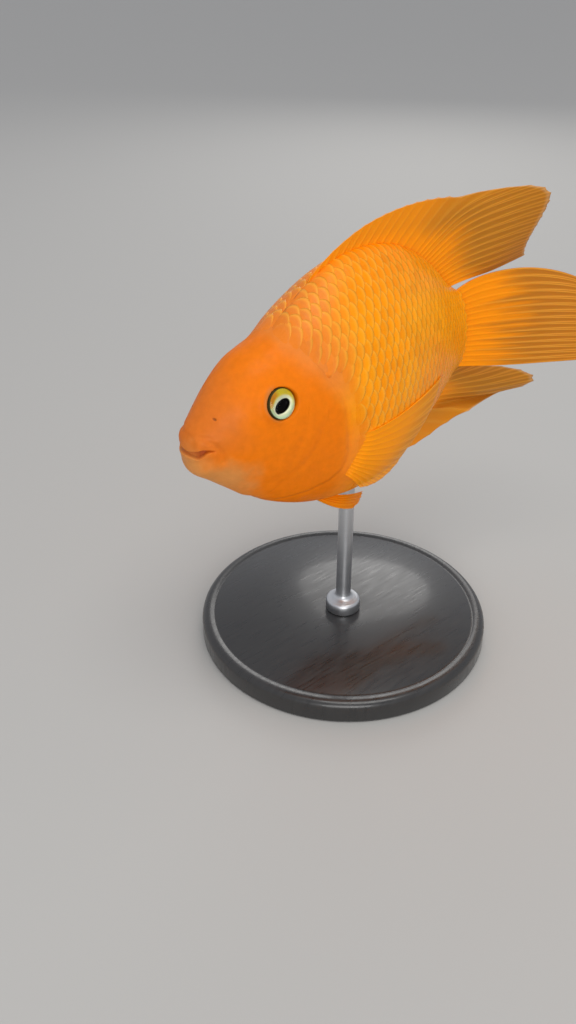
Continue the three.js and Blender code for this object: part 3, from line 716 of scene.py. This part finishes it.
wet_scales, tree, shader = new_material(
    "wet_scales", Roughness=0.42, Specular_IOR_Level=0.1, Coat_Weight=0.01, Coat_Roughness=0.2
)
colours = node(tree, "ShaderNodeGroup", node_tree=fish_colours)
run_here = attribute(tree, "scale_run")
# Painted highlight: each scale's rear edge is painted lighter, standing in for the glint on its rear bulge.
# Painted shade: its root, tucked under the scale before it, is painted darker.
painted_rim_highlight = step_between(tree, run_here, 0.72, 0.94)
root = step_between(tree, run_here, 0.7, 0.5)
colour = blend_colours(tree, times(tree, painted_rim_highlight, 0.42), colours.outputs["Colour"], (1.0, 0.5, 0.05, 1))
colour = blend_colours(tree, times(tree, root, 0.3), colour, (0.86, 0.2, 0.001, 1))
varied = reckon(tree, "MULTIPLY_ADD", attribute(tree, "tint"), 0.035, 1.0)
colour = node(tree, "ShaderNodeVectorMath", {0: colour, 3: varied}, operation="SCALE").outputs[0]
tree.links.new(colour, shader.inputs["Base Color"])
growth = noise(tree, object_place(tree), 700.0, 3.0)
rings = reckon(tree, "SINE", times(tree, run_here, 40.0))
add_bump(tree, shader, reckon(tree, "MULTIPLY_ADD", rings, 0.25, growth), 0.15, 0.00012)
tree.links.new(step_between(tree, growth, -0.4, 2.2), shader.inputs["Roughness"])

centres = scale_centres()
for name, hand in (("scales_left", -1), ("scales_right", 1)):
    scales = scale_plates(name, hand, centres)
    scales.data.materials.append(wet_scales)
    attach(scales, "root")


# The eyes: a clear domed cornea over a flat golden iris with an oval pupil, in a dark olive ring.
# Each sits in its socket and looks straight out and a little upwards.
iris_radius = 0.0049
pupil_long, pupil_short = 0.0033, 0.0022
pupil_tilt = radians(15)
pupil_drop = 0.0008
eye_sunk = 0.0004
eye_set = eye_centre - eye_facing * eye_sunk / standard_length
eye_columns = 96
eye_turn = np.arange(eye_columns) * 2 * pi / eye_columns


def eye_point(hand, across, upwards, outwards):
    away = eye_across * across[:, None] + eye_upwards * upwards[:, None] + eye_facing * outwards[:, None]
    place = eye_set + away / standard_length
    return on_fish(place[:, 0], hand * place[:, 1], place[:, 2])


def eye_rings(name, hand, rings):
    """Rings from the middle out: a share from the pupil's edge at 0 to the iris's at 1, and a height."""
    points, spans, turns = [], [], []
    ct, st = np.cos(eye_turn), np.sin(eye_turn)
    long_part = np.cos(eye_turn - pupil_tilt) / pupil_long
    short_part = np.sin(eye_turn - pupil_tilt) / pupil_short
    pupil = 1 / np.sqrt(long_part**2 + short_part**2)
    for span, height in rings:
        inner = np.clip(span, -1, 0) + 1
        outer = max(span, 0)
        radius = pupil * inner * (1 - min(outer, 1)) + iris_radius * outer
        drop = pupil_drop * (1 - min(outer, 1))
        points.append(eye_point(hand, radius * ct, radius * st - drop, np.full_like(ct, height)))
        spans.append(np.full_like(ct, span))
        turns.append(eye_turn)
    faces = grid_faces(len(rings), eye_columns)
    if hand < 0:
        faces = [f[::-1] for f in faces]
    piece = named_mesh(name, np.array(points), faces)
    set_attribute(piece, "span", np.array(spans))
    set_attribute(piece, "turn", np.array(turns))
    return piece


golden_iris, tree, shader = new_material("golden_iris", Roughness=0.35, Specular_IOR_Level=0.08)
span = attribute(tree, "span")
turn = attribute(tree, "turn")
wave = node(tree, "ShaderNodeCombineXYZ", {"X": span, "Y": turn, "Z": 0.0}).outputs[0]
flecks = noise(tree, wave, 6.0, 4.0)
uneven = times(tree, reckon(tree, "SUBTRACT", flecks, 0.5), 1.2)
upward = reckon(tree, "ADD", reckon(tree, "SINE", turn), uneven)
lower_green, upper_gold = (0.72, 0.93, 0.6, 1), (0.95, 0.76, 0.03, 1)
colour = blend_colours(tree, step_between(tree, upward, -0.5, 0.6), lower_green, upper_gold)
orange = reckon(tree, "SINE", reckon(tree, "ADD", turn, -0.9))
orange = step_between(tree, reckon(tree, "ADD", orange, times(tree, flecks, 0.06)), 0.7, 1.02)
orange = times(tree, orange, step_between(tree, span, 0.35, 0.6))
colour = blend_colours(tree, orange, colour, (0.85, 0.33, 0.01, 1))
inner_ring = step_between(tree, span, 0.5, 0.2)
colour = blend_colours(tree, inner_ring, colour, (0.92, 0.95, 0.66, 1))
outer_ring = step_between(tree, span, 0.93, 1.0)
colour = blend_colours(tree, outer_ring, colour, (0.05, 0.045, 0.015, 1))
pupil_mask = step_between(tree, span, 0.03, -0.02)
colour = blend_colours(tree, pupil_mask, colour, (0.0008, 0.0006, 0.0008, 1))
tree.links.new(colour, shader.inputs["Base Color"])
add_bump(tree, shader, flecks, 0.2, 0.0001)

clear_cornea, tree, shader = new_material(
    "clear_cornea", Roughness=0.07, Transmission_Weight=1.0, IOR=1.336, Specular_IOR_Level=0.2
)
haze = node(tree, "ShaderNodeTexNoise", {"Scale": 300.0}).outputs["Fac"]
add_bump(tree, shader, haze, 0.02, 0.00005)

iris_profile = [(-0.98, -0.0016), (-0.6, -0.0016), (-0.25, -0.0015), (-0.06, -0.0012), (0.0, -0.0002)]
iris_profile += [(s, 0.0001 + 0.0003 * s - 0.0003 * s * s) for s in np.linspace(0.04, 1.0, 16)]
iris_profile += [(1.03, 0.0), (1.055, -0.0003), (1.065, -0.0009), (1.065, -0.002)]
cornea_profile = [(s, 0.0009 * (1 - s**2.2) + 0.00032) for s in np.linspace(0.02, 1.0, 20)]
for hand, label in ((-1, "left"), (1, "right")):
    iris = eye_rings("eye_iris_" + label, hand, iris_profile)
    iris.data.materials.append(golden_iris)
    cornea = eye_rings("eye_cornea_" + label, hand, cornea_profile)
    cornea.data.materials.append(clear_cornea)
    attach(iris, "root")
    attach(cornea, "root")
    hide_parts("eye_" + label)


# The fins: thin webs of skin between bony rays that fan from the body, stiff spines in front and soft rays
# behind. The webs turn clear towards their frayed edges, where the rays end in fine pale hairs.
root_sunk = 0.022
ray_bends = 8
dorsal_spines, dorsal_soft_rays = 15, 13
anal_spines, anal_soft_rays = 6, 10
tail_ray_count = 16
breast_ray_count = 13
belly_ray_count = 6


def middle_ray(root_t, root_up, angle, length, bow, drift=0.0):
    """A fin ray as a function of the share of its length; angle and bow are in degrees."""

    def ray(v):
        v = np.asarray(v, float)
        t = np.full_like(v, root_t)
        up = np.full_like(v, root_up)
        for i in range(ray_bends):
            rise = np.radians(angle + bow * ((i + 0.5) / ray_bends) * v)
            t = t + np.cos(rise) * length * v / ray_bends
            up = up + np.sin(rise) * length * v / ray_bends
        return t, drift * v * v, up

    return ray


def mix(a, b, s):
    return a + (b - a) * s


def dorsal_rays():
    start, turn, end = 0.352, 0.735, 0.885
    rays = []
    for i in range(dorsal_spines):
        s = i / (dorsal_spines - 1)
        t = mix(start, turn, s)
        length = root_sunk + mix(0.04, 0.175, s) - 0.012 * sin(pi * s) + 0.03 * s**5
        rays.append(middle_ray(t, float(back_line(t)) - root_sunk, mix(58, 33, s), length, -6))
    for i in range(dorsal_soft_rays):
        s = (i + 1) / dorsal_soft_rays
        t = mix(turn, end, s)
        rise = sin(pi * min(0.08 + s * 1.15, 0.5)) ** 0.8 * (1 - 0.5 * float(ease(0.1, 1, s)))
        length = root_sunk + mix(0.17, 0.15, s) + 0.28 * rise * (1 - 0.1 * s)
        root_up = float(back_line(t)) - root_sunk
        drift = 0.42 * length * s * s
        rays.append(middle_ray(t, root_up, mix(32, 0, s), length, mix(-18, 4, s), drift))
    return rays


def anal_rays():
    start, turn, end = 0.62, 0.77, 0.882
    rays = []
    for i in range(anal_spines):
        s = i / (anal_spines - 1)
        t = mix(start, turn, s)
        length = root_sunk + mix(0.045, 0.24, s)
        rays.append(middle_ray(t, float(belly_line(t)) + root_sunk, mix(-50, -24, s), length, 8))
    for i in range(anal_soft_rays):
        s = (i + 1) / anal_soft_rays
        t = mix(turn, end, s)
        rise = sin(pi * min(0.1 + s * 1.2, 1)) ** 0.9
        length = root_sunk + mix(0.2, 0.13, s) + 0.3 * rise * (1 - 0.3 * s)
        root_up = float(belly_line(t)) + root_sunk
        rays.append(middle_ray(t, root_up, mix(-25, -4, s), length, mix(10, 2, s), 0.38 * length))
    return rays


def tail_rays():
    rays = []
    for i in range(tail_ray_count):
        s = i / (tail_ray_count - 1) * 2 - 1
        upper = max(s, 0) ** 2
        rise, bend = 13 * s + 17 * upper, -20 * s - 38 * upper
        rays.append(middle_ray(0.9, 0.1 * s, rise, 0.5 - 0.05 * s * s, bend))
    return rays


def width_at(t, up):
    """Half the body's width at a level, for fins that lie along the flank."""
    level = widest_level(t)
    reach = np.where(up >= level, back_line(t) - level, level - belly_line(t))
    c = np.clip(np.abs(up - level) / reach, 0, 1)
    sharpness = np.where(up >= level, back_sharpness(t), belly_sharpness(t))
    return half_width(t) * np.sqrt(1 - c * c) ** sharpness


def breast_rays(hand):
    rays = []
    for i in range(breast_ray_count):
        s = i / (breast_ray_count - 1)
        root_t, root_up = mix(0.372, 0.37, s), mix(-0.05, -0.155, s)
        angle = radians(mix(4, -50, s))
        length = mix(0.37, 0.085, s**1.15)

        def ray(v, s=s, root_t=root_t, root_up=root_up, angle=angle, length=length):
            v = np.asarray(v, float)
            t = root_t + cos(angle) * length * v
            up = root_up + sin(angle) * length * v
            root_side = float(width_at(root_t, root_up)) - 0.01
            beside = width_at(t, np.maximum(up, belly_line(t) * 0.72))
            clear = beside + 0.0022 + (0.008 * ease(0, 0.5, v) + 0.003) * float(ease(0, 0.6, s))
            return t, hand * mix(root_side, clear, ease(0, 0.2, v)), up

        rays.append(ray)
    return rays


def belly_rays(hand):
    rays = []
    for i in range(belly_ray_count):
        s = i / (belly_ray_count - 1)
        root_t, tip_t = mix(0.345, 0.37, s), 0.45 + 0.06 * s**0.6
        root_side, tip_side = mix(0.05, 0.036, s), mix(0.09, 0.062, s)
        root_up, tip_up = float(belly_line(root_t)) + 0.02, mix(-0.318, -0.305, s)

        def ray(v, ends=((root_t, tip_t), (root_side, tip_side), (root_up, tip_up))):
            v = np.asarray(v, float)
            (t0, t1), (side0, side1), (up0, up1) = ends
            return mix(t0, t1, v), hand * mix(side0, side1, v), mix(up0, up1, np.sin(pi / 2 * v))

        rays.append(ray)
    return rays


between_rays = 8
web_rows = 56


def fin_piece(name, rays, spines, thickness, ridge, fray, seed):
    random = np.random.default_rng(seed)
    rows = web_rows
    v = np.linspace(0, 1, rows + 1)
    lines = []
    for ray in rays:
        t, side, up = ray(v)
        lines.append(np.stack(np.broadcast_arrays(t, side, up), -1))
    lines = np.array(lines)
    columns = (len(rays) - 1) * between_rays + 1
    at = np.arange(columns) / between_rays
    low = np.minimum(at.astype(int), len(rays) - 2)
    s = (at - low)[:, None]
    straight = at[:, None]
    spiny = ease(spines - 0.5, spines - 1.5, straight)
    cut = (0.016 * spiny + 0.004) * (1 - (2 * s - 1) ** 2)
    trim = 1 - cut - fray * (1 - spiny) * random.uniform(0, 1, (columns, 1)) * (np.abs(2 * s - 1) < 0.9)
    reach = v[None, :] * trim
    place = np.empty((columns, rows + 1, 3))
    for i in range(columns):
        a, b = lines[low[i]], lines[low[i] + 1]
        share = s[i, 0]
        for axis in range(3):
            va = np.interp(reach[i], v, a[:, axis])
            vb = np.interp(reach[i], v, b[:, axis])
            place[i, :, axis] = va * (1 - share) + vb * share
    sheet = on_fish(place[..., 0], place[..., 1], place[..., 2])
    across = np.gradient(sheet, axis=0)
    onward = np.gradient(sheet, axis=1)
    facing = np.cross(across, onward)
    facing /= np.maximum(np.linalg.norm(facing, axis=-1, keepdims=True), 1e-12)
    near_ray = np.minimum(s, 1 - s) * 2
    branch = ease(0.35, 0.8, v)[None, :] * (1 - spiny)
    single = hump(near_ray, 0.22)
    forked = hump(near_ray - 0.42 * ease(0.35, 1.0, v)[None, :], 0.16)
    bone = single * (1 - branch) + forked * branch
    half = thickness * (1 - 0.6 * v[None, :]) / 2 + ridge * bone * (1 - 0.75 * v[None, :]) / 2
    half = half * ease(-0.02, 0.03, 1 - v)[None, :]
    front = sheet + facing * half[..., None]
    back = sheet - facing * half[..., None]
    count = columns * (rows + 1)
    faces = grid_faces(columns, rows + 1, ring=False)
    faces = faces + [tuple(count + i for i in f[::-1]) for f in faces]
    edge = [i * (rows + 1) for i in range(columns)]
    edge += [(columns - 1) * (rows + 1) + k for k in range(1, rows + 1)]
    edge += [i * (rows + 1) + rows for i in range(columns - 2, -1, -1)]
    edge += [k for k in range(rows - 1, 0, -1)]
    loop = edge + [edge[0]]
    faces += [(a, b, count + b, count + a) for a, b in zip(loop[:-1], loop[1:])]
    piece = named_mesh(name, np.vstack([front.reshape(-1, 3), back.reshape(-1, 3)]), faces)
    softness = ease(spines - 4.5, spines + 1.5, straight)
    for label, values in (("reach", reach), ("bone", bone), ("soft", softness), ("across", straight)):
        values = (values + 0 * reach).ravel()
        set_attribute(piece, label, np.concatenate([values, values]))
    return piece


def fin_material(name, root_colour, web_colour, ray_colour, clear_from, clearest, streaks):
    material, tree, shader = new_material(
        name, Roughness=0.48, Specular_IOR_Level=0.12, Subsurface_Weight=0.12, Subsurface_Scale=0.001
    )
    reach = attribute(tree, "reach")
    bone = attribute(tree, "bone")
    place = object_place(tree)
    cloud = noise(tree, place, 60.0, 4.0)
    fine = noise(tree, place, 900.0, 2.0)
    across = times(tree, attribute(tree, "across"), 1.1)
    strand = node(tree, "ShaderNodeCombineXYZ", {"X": across, "Y": times(tree, reach, 1.4)})
    streak = noise(tree, strand.outputs[0], 1.0, 2.0)
    out = reckon(tree, "ADD", reach, times(tree, reckon(tree, "SUBTRACT", cloud, 0.5), 0.15))
    out = reckon(tree, "ADD", out, times(tree, reckon(tree, "SUBTRACT", streak, 0.5), streaks))
    fade = step_between(tree, out, clear_from, clear_from + 0.4)
    fade = times(tree, fade, reckon(tree, "MULTIPLY_ADD", attribute(tree, "soft"), 0.8, 0.2))
    web = blend_colours(tree, fade, root_colour, web_colour)
    colour = blend_colours(tree, times(tree, bone, fade), web, ray_colour)
    hem = times(tree, step_between(tree, reach, 0.955, 0.985), 0.35)
    colour = blend_colours(tree, hem, colour, (0.8, 0.5, 0.25, 1))
    tree.links.new(colour, shader.inputs["Base Color"])
    open_web = times(tree, fade, reckon(tree, "SUBTRACT", 1.0, times(tree, bone, 0.7)))
    alpha = reckon(tree, "SUBTRACT", 1.0, times(tree, open_web, 1.0 - clearest))
    tree.links.new(alpha, shader.inputs["Alpha"])
    add_bump(tree, shader, fine, 0.12, 0.0001)
    return material


long_fin_skin = fin_material(
    "long_fin_skin", (1.0, 0.3, 0.002, 1), (0.5, 0.19, 0.01, 1), (0.74, 0.31, 0.03, 1), 0.14, 0.9, 0.3
)
tail_fin_skin = fin_material(
    "tail_fin_skin", (1.0, 0.31, 0.002, 1), (0.55, 0.19, 0.01, 1), (0.88, 0.38, 0.04, 1), 0.22, 0.9, 0.8
)
side_fin_skin = fin_material(
    "side_fin_skin", (0.98, 0.3, 0.002, 1), (0.97, 0.32, 0.004, 1), (1.0, 0.42, 0.03, 1), 0.5, 0.72, 0.3
)

fins = [
    ("dorsal_fin", dorsal_rays(), dorsal_spines, 0.00045, 0.0006, 0.007, 3, long_fin_skin),
    ("anal_fin", anal_rays(), anal_spines, 0.00045, 0.0006, 0.007, 4, long_fin_skin),
    ("tail_fin", tail_rays(), 0, 0.0006, 0.0006, 0.007, 5, tail_fin_skin),
    ("pectoral_fin_left", breast_rays(-1), 0, 0.0004, 0.0005, 0.01, 6, side_fin_skin),
    ("pectoral_fin_right", breast_rays(1), 0, 0.0004, 0.0005, 0.01, 7, side_fin_skin),
    ("pelvic_fin_left", belly_rays(-1), 1, 0.0004, 0.0004, 0.03, 8, side_fin_skin),
    ("pelvic_fin_right", belly_rays(1), 1, 0.0004, 0.0004, 0.03, 9, side_fin_skin),
]
for solid, rays, spines, thickness, ridge, fray, seed, material in fins:
    fin = fin_piece(solid + "_web", rays, spines, thickness, ridge, fray, seed)
    fin.data.materials.append(material)
    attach(fin, "root")
    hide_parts(solid)
